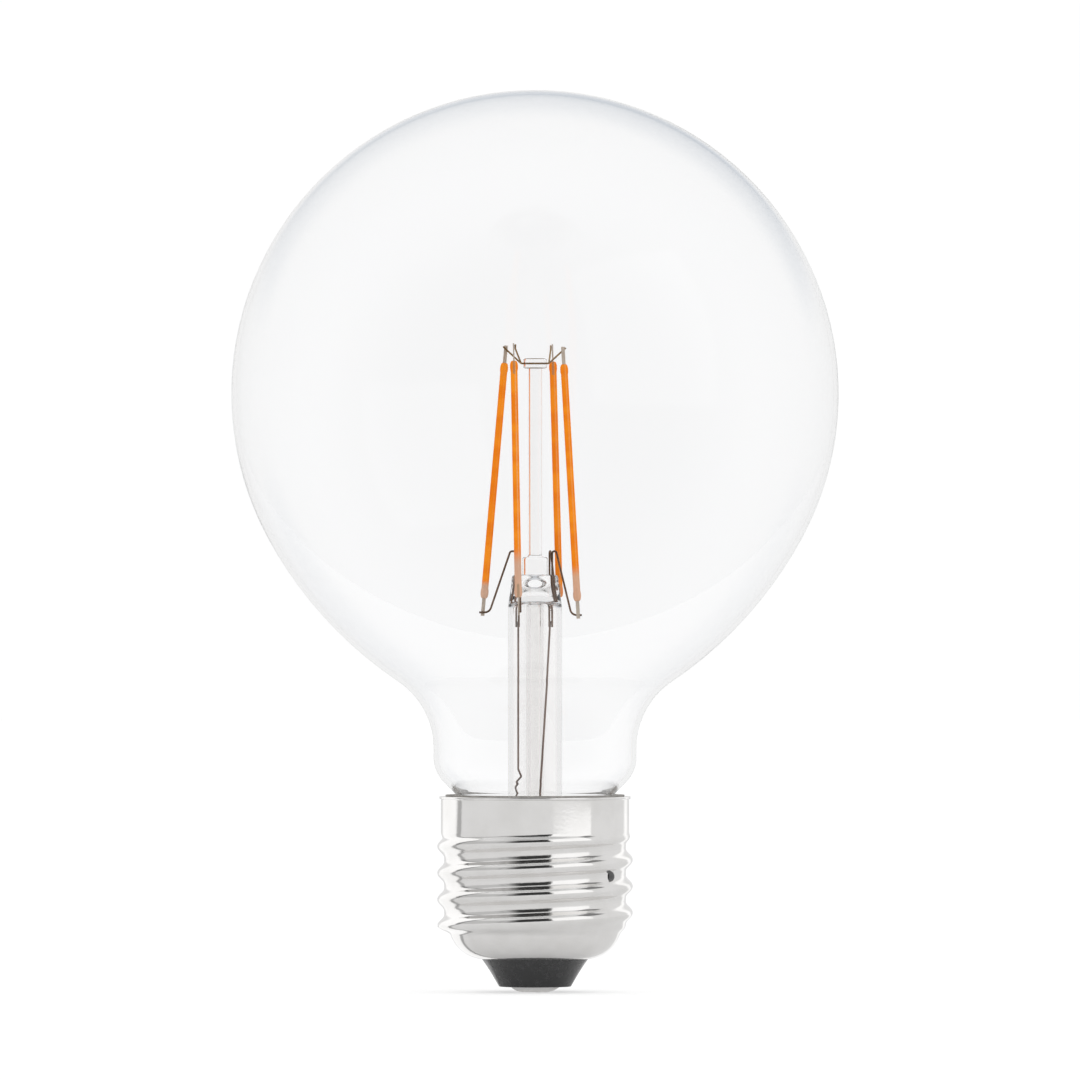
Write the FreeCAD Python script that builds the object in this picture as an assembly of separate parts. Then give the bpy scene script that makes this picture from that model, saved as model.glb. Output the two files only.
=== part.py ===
import FreeCAD, Part
import math
import os
from itertools import repeat

# Driving dimensions, in millimetres and degrees

# Screw cap of the E27 size, heights measured up from the tip of the centre contact
cap_height = 27.1
sheet = 0.3
skirt_radius = 12.6
lip_radius = 0.5
thread_major = 26.2
thread_minor = 24.3
thread_pitch = 3.629
thread_crest_height = 14.5
thread_top = 21.9
thread_bottom = 7.9
thread_runout = 1.3
shoulder_top_radius = 11.3
shoulder_curve = 4.7
shoulder_start_angle = 20.0
cap_opening_radius = 7.6
fit_clearance = 0.05

# Black glass insulator and centre contact
insulator_tip_radius = 5.0
insulator_flank_sag = 0.25
insulator_bore_radius = 1.0
contact_radius = 3.4
contact_flat_radius = 1.5
contact_height = 0.75

# Side pin in a valley of the thread
pin_azimuth = -33.5
pin_head_radius = 0.7
pin_head_height = 0.35
pin_shank_radius = 0.4
pin_length = 2.2

# Glass globe
globe_radius = 41.6
flank_radius = 55.0
flank_angle = 28.0
neck_radius = 13.9
neck_fillet = 11.0
neck_length = 1.2
neck_rise = 5.1
neck_shoulder = 5.0
neck_cone_angle = 45.0
entry_radius = 10.4
entry_bend = 1.5
entry_depth = 6.4
glass_wall = 0.65

# Glass stem: flare, tube, press, exhaust tube and post
stem_radius = 3.7
stem_wall = 0.7
stem_bore_round = 0.8
press_start = 52.3
press_height = 4.9
press_half_width = 3.2
press_half_thickness = 1.8
blow_hole_radius = 0.8
blow_hole_depth = 1.3
exhaust_radius = 1.2
exhaust_bore_radius = 0.7
exhaust_tip_height = 14.0
exhaust_socket = 1.0
post_foot_radius = 1.75
post_foot_height = 2.4
post_radius = 0.95
post_top = 86.8
button_radius = 1.65
button_height = 1.4
glass_round = 0.3
seal_gap = 0.01

# Light strips
strip_length = 32.4
strip_width = 0.95
strip_thickness = 0.8
strip_round = 0.25
collar_growth = 0.07
collar_length = 1.4
tab_length = 2.4
tab_width = 0.5
tab_thickness = 0.2
strip_top_height = 86.4
strip_bottom_height = 54.1
strip_top_radius = 4.9
strip_bottom_radius = 7.1
strip_top_azimuths = (148.5, 233.9, 323.7, 60.0)
strip_bottom_azimuths = (169.9, 251.4, 324.6, 61.9)
strip_drops = (0.2, 0.0, 0.45, 0.0)
tab_quarter = 90.0

# Wires
top_wire_radius = 0.12
lead_radius = 0.14
side_wire_radius = 0.25
contact_wire_radius = 0.3
weld_gap = 0.02
weld_depth = 0.8
top_wire_bend = 0.3
top_wire_overshoot = 0.5
top_wire_run = 0.45
top_wire_corner = 1.9
top_wire_aside = 0.3
lead_rise = 3.2
lead_tail = 2.3
lead_hairpin = 0.8
lead_bend = 0.36
lead_foot_bend = 0.9
lead_overshoot = 0.5
lead_run = 0.9
lead_azimuths = (170.0, 290.0, 330.0, 111.0)
outer_lead_places = ((-2.3, -0.1), (2.1, 0.1))
outer_lead_overlap = 0.8
outer_lead_kink_height = 29.3
outer_lead_kink_width = 0.45
outer_lead_kink_pitch = 1.1
outer_lead_right_shift = (-1.45, -2.1)

# Driver inside the cap
board_radius = 9.0
board_thickness = 1.0
board_height = 7.0
rectifier_size = (5.0, 4.0, 1.6)
rectifier_place = (-4.6, 3.1)
chip_size = (4.9, 3.9, 1.5)
chip_place = (-4.6, -3.3)
capacitor_radius = 2.5
capacitor_height = 5.6
capacitor_place = (4.8, 2.5)
resistor_radius = 1.0
resistor_length = 3.6
resistor_lead = 0.25
resistor_reach = 2.7
resistor_place = (1.0, -6.0)
side_wire_pad_radius = 8.2
part_round = 0.3

# Grid of the thread's two skins
skin_columns = 48
skin_rows_per_turn = 10
join_tolerance = 0.0001

origin = FreeCAD.Vector(0, 0, 0)
up = FreeCAD.Vector(0, 0, 1)

# Values worked out from the driving dimensions
thread_root = thread_minor / 2
thread_depth = (thread_major - thread_minor) / 2
seal_height = cap_height - entry_depth
board_top = board_height + board_thickness
press_top = press_start + press_height
blow_hole_height = press_top - blow_hole_depth
lead_peak = press_top + lead_rise
lead_foot = press_start - lead_tail


def on_plane(radius, height):
    """A point of an outline in the half plane that is turned about the axis."""
    return FreeCAD.Vector(radius, 0, height)


def around(radius, azimuth, height):
    """A point at a radius, an azimuth in degrees and a height."""
    angle = math.radians(azimuth)
    return FreeCAD.Vector(radius * math.cos(angle), radius * math.sin(angle), height)


def arc_point(centre, radius, angle):
    """A point on a circle of the outline's plane, the angle in degrees up from +X."""
    turn = math.radians(angle)
    return on_plane(centre.x + radius * math.cos(turn), centre.z + radius * math.sin(turn))


def line(start, end):
    return Part.LineSegment(start, end).toShape()


def arc(centre, radius, first, last):
    """An arc of the outline's plane between two angles."""
    middle = arc_point(centre, radius, (first + last) / 2)
    return Part.Arc(arc_point(centre, radius, first), middle, arc_point(centre, radius, last)).toShape()


def polyline(points):
    return [line(start, end) for start, end in zip(points, points[1:])]


def revolved(edges):
    """The solid that a closed outline makes when it is turned about the axis."""
    return Part.Face(Part.Wire(edges)).revolve(origin, up, 360)


def ring(inner, outer, bottom, top):
    points = [on_plane(inner, bottom), on_plane(outer, bottom), on_plane(outer, top), on_plane(inner, top)]
    return revolved(polyline(points + points[:1]))


def ramp(share):
    """A smooth step from 0 to 1."""
    share = min(max(share, 0.0), 1.0)
    return share * share * (3 - 2 * share)


def bent_wire(points, radius, bends):
    """A round wire of straight runs joined by tangent bends, one at each inner point."""
    edges = []
    start = points[0]
    for before, corner, after, bend in zip(points, points[1:], points[2:], bends):
        into = (corner - before).normalize()
        out = (after - corner).normalize()
        half_turn = into.getAngle(out) / 2
        reach = bend * math.tan(half_turn)
        inward = (out - into).normalize()
        bend_start = corner - into * reach
        bend_middle = corner + inward * (bend / math.cos(half_turn) - bend)
        bend_end = corner + out * reach
        edges.append(line(start, bend_start))
        edges.append(Part.Arc(bend_start, bend_middle, bend_end).toShape())
        start = bend_end
    edges.append(line(start, points[-1]))
    section = Part.Wire(Part.Circle(points[0], points[1] - points[0], radius).toShape())
    return Part.Wire(edges).makePipeShell([section], True, False)


def rounded_bar(width, thickness, round_radius, bottom, height):
    """An upright bar whose four long edges are rounded."""
    bar = Part.makeBox(width, thickness, height, FreeCAD.Vector(-width / 2, -thickness / 2, bottom))
    long_edges = [edge for edge in bar.Edges if abs(edge.tangentAt(edge.FirstParameter).z) > 0.5]
    return bar.makeFillet(round_radius, long_edges)


# Glass globe

def neck_arcs(inset):
    """The arcs of the globe's outline from the top down, moved in by an inset."""
    fillet_centre = on_plane(neck_radius + neck_fillet, cap_height + neck_rise + neck_length)
    turn = math.radians(flank_angle)
    across = neck_radius + neck_fillet + (flank_radius - globe_radius) * math.cos(turn)
    bend_angle = math.degrees(math.acos(across / (neck_fillet + flank_radius)))
    flank_centre = arc_point(fillet_centre, neck_fillet + flank_radius, 180 - bend_angle)
    globe_centre = on_plane(0, flank_centre.z - (flank_radius - globe_radius) * math.sin(turn))
    shoulder_centre = on_plane(neck_radius - neck_shoulder, cap_height + neck_rise)
    return [
        (globe_centre, globe_radius - inset, 90, -flank_angle),
        (flank_centre, flank_radius - inset, -flank_angle, -bend_angle),
        (fillet_centre, neck_fillet + inset, 180 - bend_angle, 180),
        (shoulder_centre, neck_shoulder - inset, 0, -neck_cone_angle),
        (entry_centre(), entry_bend + inset, 180 - neck_cone_angle, 180),
    ]


def entry_centre():
    """The centre of the bend between the neck's cone and its straight end in the cap."""
    turn = math.radians(neck_cone_angle)
    cone_top = arc_point(on_plane(neck_radius - neck_shoulder, cap_height + neck_rise), neck_shoulder, -neck_cone_angle)
    cone_end_radius = entry_radius + entry_bend * (1 - math.cos(turn))
    cone_end_height = cone_top.z - (cone_top.x - cone_end_radius) / math.tan(turn)
    return on_plane(entry_radius + entry_bend, cone_end_height - entry_bend * math.sin(turn))


def globe_outline(inset):
    """Edges of the globe's skin from its top to the sealed end in the cap, and the last point."""
    edges = []
    last = None
    for centre, radius, first, final in neck_arcs(inset):
        start = arc_point(centre, radius, first)
        if last and last.distanceToPoint(start) > seal_gap / 10:
            edges.append(line(last, start))
        edges.append(arc(centre, radius, first, final))
        last = arc_point(centre, radius, final)
    end = on_plane(entry_radius - inset, seal_height)
    edges.append(line(last, end))
    return edges, end


def glass_globe():
    outer, outer_end = globe_outline(0)
    inner, inner_end = globe_outline(glass_wall)
    top = line(outer[0].Vertexes[0].Point, inner[0].Vertexes[0].Point)
    return revolved(outer + [line(outer_end, inner_end)] + inner[::-1] + [top])


# Glass stem

def stem_flare():
    """The tube with its flared foot, closed and flattened above by the press."""
    flare_bend = entry_radius - glass_wall - seal_gap - stem_radius
    flange_bottom = seal_height - stem_wall
    centre = on_plane(stem_radius + flare_bend, seal_height + flare_bend)
    bore_radius = stem_radius - stem_wall
    bore_top = press_start - stem_wall
    round_centre = on_plane(bore_radius - stem_bore_round, bore_top - stem_bore_round)
    outline = [line(on_plane(0, press_start), on_plane(stem_radius, press_start))]
    outline.append(line(on_plane(stem_radius, press_start), on_plane(stem_radius, centre.z)))
    outline.append(arc(centre, flare_bend, 180, 270))
    outline += polyline([
        on_plane(centre.x, seal_height),
        on_plane(entry_radius, seal_height),
        on_plane(entry_radius, flange_bottom),
        on_plane(centre.x, flange_bottom),
    ])
    outline.append(arc(centre, flare_bend + stem_wall, 270, 180))
    outline.append(line(on_plane(bore_radius, centre.z), on_plane(bore_radius, round_centre.z)))
    outline.append(arc(round_centre, stem_bore_round, 0, 90))
    outline += polyline([on_plane(round_centre.x, bore_top), on_plane(0, bore_top), on_plane(0, press_start)])
    return revolved(outline).fuse(stem_press()).removeSplitter().cut(Part.Compound(press_holes()))


def stem_press():
    """The flattened top of the stem, from the round tube to a flat oval."""
    start = Part.Wire(Part.Circle(on_plane(0, press_start), up, stem_radius).toShape())
    ovals = [start]
    for share in (0.5, 1.0):
        height = press_start + (press_top - press_start) * share
        wide = stem_radius + (press_half_width - stem_radius) * ramp(share)
        thin = stem_radius + (press_half_thickness - stem_radius) * ramp(share)
        ellipse = Part.Ellipse(on_plane(wide, height), FreeCAD.Vector(0, thin, height), on_plane(0, height))
        ovals.append(Part.Wire(ellipse.toShape()))
    return Part.makeLoft(ovals, True)


def press_holes():
    """The seats of the four leads, the socket of the exhaust tube and the blow hole."""
    seats = []
    for number in range(len(lead_azimuths)):
        seats.append(Part.makeCylinder(lead_radius + seal_gap, lead_peak - lead_foot, lead_place(number, lead_foot)))
    socket_top = press_start + exhaust_socket
    socket = Part.makeCylinder(exhaust_radius + seal_gap, socket_top - lead_foot, on_plane(0, lead_foot))
    channel = Part.makeCylinder(exhaust_bore_radius, blow_hole_height - lead_foot, on_plane(0, lead_foot))
    port_start = FreeCAD.Vector(0, -stem_radius, blow_hole_height)
    port = Part.makeCylinder(blow_hole_radius, 2 * stem_radius, port_start, FreeCAD.Vector(0, 1, 0))
    return seats + [socket, channel, port]


def exhaust_tube():
    """A thin tube, open in the press and drawn to a sealed tip below."""
    top = press_start + exhaust_socket
    tip_centre = on_plane(0, exhaust_tip_height + exhaust_radius)
    outline = [arc(tip_centre, exhaust_radius, 270, 360)]
    outline += polyline([
        on_plane(exhaust_radius, tip_centre.z),
        on_plane(exhaust_radius, top),
        on_plane(exhaust_bore_radius, top),
        on_plane(exhaust_bore_radius, tip_centre.z + exhaust_radius),
    ])
    outline.append(arc(on_plane(0, tip_centre.z + exhaust_radius), exhaust_bore_radius, 0, -90))
    bore_end = tip_centre.z + exhaust_radius - exhaust_bore_radius
    outline.append(line(on_plane(0, bore_end), on_plane(0, exhaust_tip_height)))
    return revolved(outline)


def stem_post():
    """The glass rod with its foot on the press and its button at the top."""
    foot_top = press_top + post_foot_height
    button_bottom = post_top - button_height
    outline = polyline([
        on_plane(0, press_top),
        on_plane(post_foot_radius, press_top),
        on_plane(post_foot_radius, foot_top - glass_round),
    ])
    outline.append(arc(on_plane(post_foot_radius - glass_round, foot_top - glass_round), glass_round, 0, 90))
    outline += polyline([
        on_plane(post_foot_radius - glass_round, foot_top),
        on_plane(post_radius, foot_top),
        on_plane(post_radius, button_bottom),
    ])
    edge_radius = button_height / 2
    edge_centre = on_plane(button_radius - edge_radius, post_top - edge_radius)
    if edge_centre.x > post_radius:
        outline.append(line(on_plane(post_radius, button_bottom), on_plane(edge_centre.x, button_bottom)))
    first = -90
    if edge_centre.x < post_radius:
        first = -math.degrees(math.acos((post_radius - edge_centre.x) / edge_radius))
        joint = arc_point(edge_centre, edge_radius, first)
        outline[-1] = line(on_plane(post_radius, foot_top), joint)
    outline.append(arc(edge_centre, edge_radius, first, 90))
    outline.append(line(on_plane(edge_centre.x, post_top), on_plane(0, post_top)))
    outline.append(line(on_plane(0, post_top), on_plane(0, press_top)))
    return revolved(outline).cut([top_wire_seat(-top_wire_aside), top_wire_seat(top_wire_aside)])


# Light strips

def strip_ends(number):
    """The centres of a strip's coated length, top and bottom."""
    drop = FreeCAD.Vector(0, 0, -strip_drops[number])
    top = around(strip_top_radius, strip_top_azimuths[number], strip_top_height) + drop
    below = around(strip_bottom_radius, strip_bottom_azimuths[number], strip_bottom_height) + drop
    return top, top + (below - top).normalize() * strip_length


def along_strip(shape, number):
    """A shape drawn upright from a strip's bottom, put in that strip's place."""
    top, bottom = strip_ends(number)
    shape.Placement = FreeCAD.Placement(bottom, FreeCAD.Rotation(up, top - bottom)).multiply(shape.Placement)
    return shape


def strip(number):
    """The coated strip, a little thicker at both ends."""
    body = rounded_bar(strip_width, strip_thickness, strip_round, 0, strip_length)
    wide = strip_width + 2 * collar_growth
    thick = strip_thickness + 2 * collar_growth
    collars = [
        rounded_bar(wide, thick, strip_round, bottom, collar_length)
        for bottom in (0, strip_length - collar_length)
    ]
    return along_strip(body.fuse(collars).removeSplitter(), number)


def tab(number, bottom):
    """A flat metal end of a strip, turned a quarter from one strip to the next."""
    flat = Part.makeBox(tab_width, tab_thickness, tab_length, FreeCAD.Vector(-tab_width / 2, -tab_thickness / 2, bottom))
    flat.rotate(origin, up, tab_quarter * number)
    return along_strip(flat, number)


def tab_face(number):
    """The level direction square to a tab's flat."""
    return around(1, tab_quarter * (number + 1), 0)


def along_tab(number, direction):
    """The part of a direction that lies in a tab's flat, at length one."""
    face = tab_face(number)
    return (direction - face * direction.dot(face)).normalize()


def weld_point(number, at_top, radius):
    """Where a wire crosses a tab on the side that faces the post."""
    top, bottom = strip_ends(number)
    axis = (top - bottom).normalize()
    reach = tab_length * weld_depth
    point = top + axis * reach if at_top else bottom - axis * reach
    aside = tab_thickness / 2 + radius + weld_gap
    face = tab_face(number)
    return point - face * math.copysign(aside, point.dot(face))


# Wires of the mount

def top_wire_seat(aside):
    """The hole through the post's button for a top wire."""
    start = FreeCAD.Vector(-top_wire_corner, aside, post_top - button_height / 2)
    return Part.makeCylinder(top_wire_radius + seal_gap, 2 * top_wire_corner, start, FreeCAD.Vector(1, 0, 0))


def top_wire(left, right, aside):
    """A wire through the button, welded to a top tab at each end."""
    height = post_top - button_height / 2
    left_corner = FreeCAD.Vector(-top_wire_corner, aside, height)
    right_corner = FreeCAD.Vector(top_wire_corner, aside, height)
    left_weld = weld_point(left, True, top_wire_radius)
    right_weld = weld_point(right, True, top_wire_radius)
    left_run = along_tab(left, left_corner - left_weld)
    right_run = along_tab(right, right_corner - right_weld)
    return bent_wire([
        left_weld - left_run * top_wire_overshoot,
        left_weld + left_run * top_wire_run,
        left_corner,
        right_corner,
        right_weld + right_run * top_wire_run,
        right_weld - right_run * top_wire_overshoot,
    ], top_wire_radius, repeat(top_wire_bend))


def lead_place(number, height):
    """A point on a lead's way up through the press, beside the outer lead that feeds it."""
    x, y = outer_lead_places[number // 2]
    return FreeCAD.Vector(x, y, height) + around(2 * lead_radius + weld_gap, lead_azimuths[number], 0)


def inner_lead(number):
    """A wire up through the press, over a hairpin and down to a bottom tab."""
    weld = weld_point(number, False, lead_radius)
    first_corner = lead_place(number, lead_peak)
    level = FreeCAD.Vector(weld.x - first_corner.x, weld.y - first_corner.y, 0)
    outward = along_tab(number, level)
    return bent_wire([
        lead_place(number, lead_foot),
        first_corner,
        first_corner + level.normalize() * lead_hairpin,
        weld - outward * lead_run,
        weld + outward * lead_overshoot,
    ], lead_radius, (lead_bend, lead_bend, lead_foot_bend))


def outer_lead_left():
    """The kinked wire from under the press to the board."""
    x, y = outer_lead_places[0]
    heights = (
        outer_lead_kink_height + outer_lead_kink_pitch,
        outer_lead_kink_height,
        outer_lead_kink_height - outer_lead_kink_pitch,
        outer_lead_kink_height - 2 * outer_lead_kink_pitch,
    )
    points = [FreeCAD.Vector(x, y, lead_foot + outer_lead_overlap)]
    for height, aside in zip(heights, (0, outer_lead_kink_width, -outer_lead_kink_width, 0)):
        points.append(FreeCAD.Vector(x + aside, y, height))
    points.append(FreeCAD.Vector(x, y, board_top))
    return bent_wire(points, lead_radius, repeat(lead_bend))


def outer_lead_right():
    """The slanting wire from under the press, past the exhaust tube to the board."""
    x, y = outer_lead_places[1]
    shift_x, shift_y = outer_lead_right_shift
    mouth = FreeCAD.Vector(x + shift_x, y + shift_y, cap_height)
    return bent_wire([
        FreeCAD.Vector(x, y, lead_foot + outer_lead_overlap),
        mouth,
        FreeCAD.Vector(mouth.x, mouth.y, board_top),
    ], lead_radius, repeat(lead_bend))


# Cap shell

def thread_radius(angle, height):
    """The shell's outer radius between its skirt and its shoulder."""
    upper = ramp((height - thread_top + thread_runout) / thread_runout)
    lower = ramp((thread_bottom + thread_runout - height) / thread_runout)
    base = thread_root + (skirt_radius - thread_root) * upper + (shoulder_top_radius - thread_root) * lower
    phase = 2 * math.pi * (height - thread_crest_height) / thread_pitch - angle
    swing = (2 + math.cos(2 * math.pi / skin_rows_per_turn)) / 3
    wave = 0.5 + 0.5 * math.cos(phase) / swing
    return base + thread_depth * wave * (1 - upper) * (1 - lower)


def thread_skin(inset):
    """One closed skin of the rolled thread, a smooth sheet over a grid of points."""
    spans = round((thread_top - thread_bottom) * skin_rows_per_turn / thread_pitch)
    knots = [0] * 3 + list(range(spans + 1)) + [spans] * 3
    round_up = 3 / (2 + math.cos(2 * math.pi / skin_columns))
    poles = []
    for column in range(skin_columns):
        angle = 2 * math.pi * (column - 1) / skin_columns
        line_of_poles = []
        for row in range(spans + 3):
            share = sum(knots[row + 1:row + 4]) / 3 / spans
            height = thread_bottom + (thread_top - thread_bottom) * share
            radius = (thread_radius(angle, height) - inset) * round_up
            line_of_poles.append(FreeCAD.Vector(radius * math.cos(angle), radius * math.sin(angle), height))
        poles.append(line_of_poles)
    surface = Part.BSplineSurface()
    surface.buildFromPolesMultsKnots(
        poles,
        [1] * (skin_columns + 1),
        [4] + [1] * (spans - 1) + [4],
        list(range(skin_columns + 1)),
        list(range(spans + 1)),
        True,
        False,
        3,
        3,
    )
    return surface.toShape()


def thread_plug(inset):
    """The solid inside one skin of the thread, closed by two flat discs."""
    skin = thread_skin(inset)
    discs = [Part.Face(Part.Wire(rim)).reversed() for rim in skin.Edges if rim.Closed]
    return Part.Solid(Part.Shell([skin] + discs))


def skirt():
    """The plain skirt above the thread with its rolled lip."""
    inner_lip = lip_radius + sheet
    centre = on_plane(skirt_radius + lip_radius, cap_height - inner_lip)
    inner = skirt_radius - sheet
    return revolved([
        line(on_plane(skirt_radius, thread_top), on_plane(skirt_radius, centre.z)),
        arc(centre, lip_radius, 180, 90),
        line(on_plane(centre.x, centre.z + lip_radius), on_plane(centre.x, cap_height)),
        arc(centre, inner_lip, 90, 180),
        line(on_plane(inner, centre.z), on_plane(inner, thread_top)),
        line(on_plane(inner, thread_top), on_plane(skirt_radius, thread_top)),
    ])


def shoulder_centre():
    """The centre of the shoulder's curve under the thread."""
    start = on_plane(shoulder_top_radius, thread_bottom)
    return arc_point(start, shoulder_curve, 180 - shoulder_start_angle)


def shoulder_point(inset, radius):
    """The point of the shoulder's skin at a radius, moved in by an inset."""
    centre = shoulder_centre()
    curve = shoulder_curve - inset
    return on_plane(radius, centre.z - math.sqrt(curve ** 2 - (radius - centre.x) ** 2))


def shoulder_arc(inset, first, last):
    """The shoulder's skin between two points, moved in by an inset."""
    middle = shoulder_point(inset, (first.x + last.x) / 2)
    return Part.Arc(first, middle, last).toShape()


def shoulder():
    """The domed shoulder from the thread to the edge of the opening."""
    outer_top = on_plane(shoulder_top_radius, thread_bottom)
    inner_top = on_plane(shoulder_top_radius - sheet, thread_bottom)
    outer_edge = shoulder_point(0, cap_opening_radius)
    inner_edge = shoulder_point(sheet, cap_opening_radius)
    return revolved([
        shoulder_arc(0, outer_top, outer_edge),
        line(outer_edge, inner_edge),
        shoulder_arc(sheet, inner_edge, inner_top),
        line(inner_top, outer_top),
    ])


def cap_shell():
    """The rolled sheet shell, with the hole of the side pin."""
    thread = thread_plug(0).cut(thread_plug(sheet))
    hole = Part.makeCylinder(pin_shank_radius + fit_clearance, 2 * pin_length, pin_point(-pin_length), pin_axis())
    return thread.fuse([skirt(), shoulder()], join_tolerance).cut(hole)


# Side pin

def pin_axis():
    return around(1, pin_azimuth, 0)


def pin_height():
    """The height of the thread's valley next above the crest that sets the thread."""
    return thread_crest_height + thread_pitch * (0.5 + pin_azimuth / 360)


def pin_seat_rise():
    """How far the valley's sides rise under the rim of the pin's head."""
    return thread_depth * (1 - math.cos(2 * math.pi * pin_head_radius / thread_pitch)) / 2


def pin_point(outward):
    """A point on the pin's axis, measured outward from the underside of its head."""
    return around(thread_root + pin_seat_rise() + fit_clearance + outward, pin_azimuth, pin_height())


def side_pin():
    """A short nail with a domed head."""
    dome_radius = (pin_head_radius ** 2 + pin_head_height ** 2) / (2 * pin_head_height)
    rim_angle = math.degrees(math.asin((dome_radius - pin_head_height) / dome_radius))
    outline = [arc(on_plane(0, pin_head_height - dome_radius), dome_radius, rim_angle, 90)]
    outline += polyline([
        on_plane(0, pin_head_height),
        on_plane(0, -pin_length),
        on_plane(pin_shank_radius, -pin_length),
        on_plane(pin_shank_radius, 0),
        on_plane(pin_head_radius, 0),
    ])
    pin = revolved(outline)
    pin.Placement = FreeCAD.Placement(pin_point(0), FreeCAD.Rotation(up, pin_axis()))
    return pin


# Insulator, contact and cement

def cap_insulator():
    """Black glass that fills the shoulder and tapers to the contact, with a bore for the wire."""
    neck = cap_opening_radius - fit_clearance
    edge = shoulder_point(0, cap_opening_radius)
    lodge = shoulder_point(sheet + fit_clearance, neck)
    centre = shoulder_centre()
    curve = shoulder_curve - sheet - fit_clearance
    top = on_plane(centre.x + math.sqrt(curve ** 2 - (centre.z - board_height) ** 2), board_height)
    tip = on_plane(insulator_tip_radius, contact_height)
    waist = (tip + on_plane(neck, edge.z)) * 0.5 + on_plane(-insulator_flank_sag, insulator_flank_sag)
    outline = polyline([
        on_plane(insulator_bore_radius, contact_height),
        tip,
    ])
    outline.append(Part.Arc(tip, waist, on_plane(neck, edge.z)).toShape())
    outline.append(line(on_plane(neck, edge.z), lodge))
    outline.append(shoulder_arc(sheet + fit_clearance, lodge, top))
    outline += polyline([
        top,
        on_plane(insulator_bore_radius, board_height),
        on_plane(insulator_bore_radius, contact_height),
    ])
    return revolved(outline)


def centre_contact():
    """The domed contact with a small flat at its tip and a seat for the wire."""
    span = contact_radius - contact_flat_radius
    dome_radius = (span ** 2 + contact_height ** 2) / (2 * contact_height)
    rim_angle = -math.degrees(math.acos(span / dome_radius))
    centre = on_plane(contact_flat_radius, dome_radius)
    seat = contact_wire_radius + fit_clearance
    outline = [line(on_plane(0, 0), on_plane(contact_flat_radius, 0))]
    outline.append(arc(centre, dome_radius, -90, rim_angle))
    outline += polyline([
        on_plane(contact_radius, contact_height),
        on_plane(seat, contact_height),
        on_plane(seat, contact_height / 2),
        on_plane(0, contact_height / 2),
        on_plane(0, 0),
    ])
    return revolved(outline)


def basing_cement():
    """The ring between the neck's end and the skirt, flush with the lip."""
    centre = entry_centre()
    bend = entry_bend - fit_clearance
    outer = skirt_radius - sheet - fit_clearance
    top = arc_point(centre, bend, 180 - neck_cone_angle)
    bottom = thread_top + sheet
    outline = [arc(centre, bend, 180, 180 - neck_cone_angle)]
    outline += polyline([
        top,
        on_plane(outer, top.z),
        on_plane(outer, bottom),
        on_plane(entry_radius + fit_clearance, bottom),
        on_plane(entry_radius + fit_clearance, centre.z),
    ])
    return revolved(outline)


# Driver

def driver_board():
    """The round board on the insulator, with a hole for the contact's wire."""
    return ring(contact_wire_radius + fit_clearance, board_radius, board_height, board_top)


def board_block(size, place):
    """A flat moulded part on the board, its top edges rounded."""
    corner = FreeCAD.Vector(place[0] - size[0] / 2, place[1] - size[1] / 2, board_top)
    block = Part.makeBox(size[0], size[1], size[2], corner)
    top_edges = [edge for edge in block.Edges if edge.BoundBox.ZMin > board_top + size[2] / 2]
    return block.makeFillet(part_round, top_edges)


def smoothing_capacitor():
    """A standing can with a rounded top."""
    can = Part.makeCylinder(capacitor_radius, capacitor_height, FreeCAD.Vector(*capacitor_place, board_top))
    rim = [edge for edge in can.Edges if edge.BoundBox.ZMin > board_top + capacitor_height / 2]
    return can.makeFillet(part_round, rim)


def fuse_resistor():
    """A lying body on one wire that is bent down to the board at both ends."""
    x, y = resistor_place
    height = board_top + resistor_radius
    start = FreeCAD.Vector(x - resistor_length / 2, y, height)
    body = Part.makeCylinder(resistor_radius, resistor_length, start, FreeCAD.Vector(1, 0, 0))
    body = body.makeFillet(part_round, [edge for edge in body.Edges if edge.BoundBox.XLength < part_round])
    lead = bent_wire([
        FreeCAD.Vector(x - resistor_reach, y, board_top),
        FreeCAD.Vector(x - resistor_reach, y, height),
        FreeCAD.Vector(x + resistor_reach, y, height),
        FreeCAD.Vector(x + resistor_reach, y, board_top),
    ], resistor_lead, repeat(2 * resistor_lead))
    return body.fuse(lead).removeSplitter()


def side_wire():
    """The wire from the board up to the inner end of the side pin."""
    pin_end = thread_root + pin_seat_rise() + fit_clearance - pin_length
    beside = pin_end - side_wire_radius - weld_gap
    reach = pin_height() - board_top
    return bent_wire([
        around(side_wire_pad_radius, pin_azimuth, board_top),
        around(side_wire_pad_radius, pin_azimuth, board_top + reach / 3),
        around(beside, pin_azimuth, board_top + reach * 2 / 3),
        around(beside, pin_azimuth, pin_height() + pin_head_radius),
    ], side_wire_radius, repeat(2 * side_wire_radius))


def contact_wire():
    """The straight wire from the board down through the insulator to the contact."""
    bottom = contact_height / 2
    height = board_top + board_thickness - bottom
    return Part.makeCylinder(contact_wire_radius, height, on_plane(0, bottom))


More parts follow.
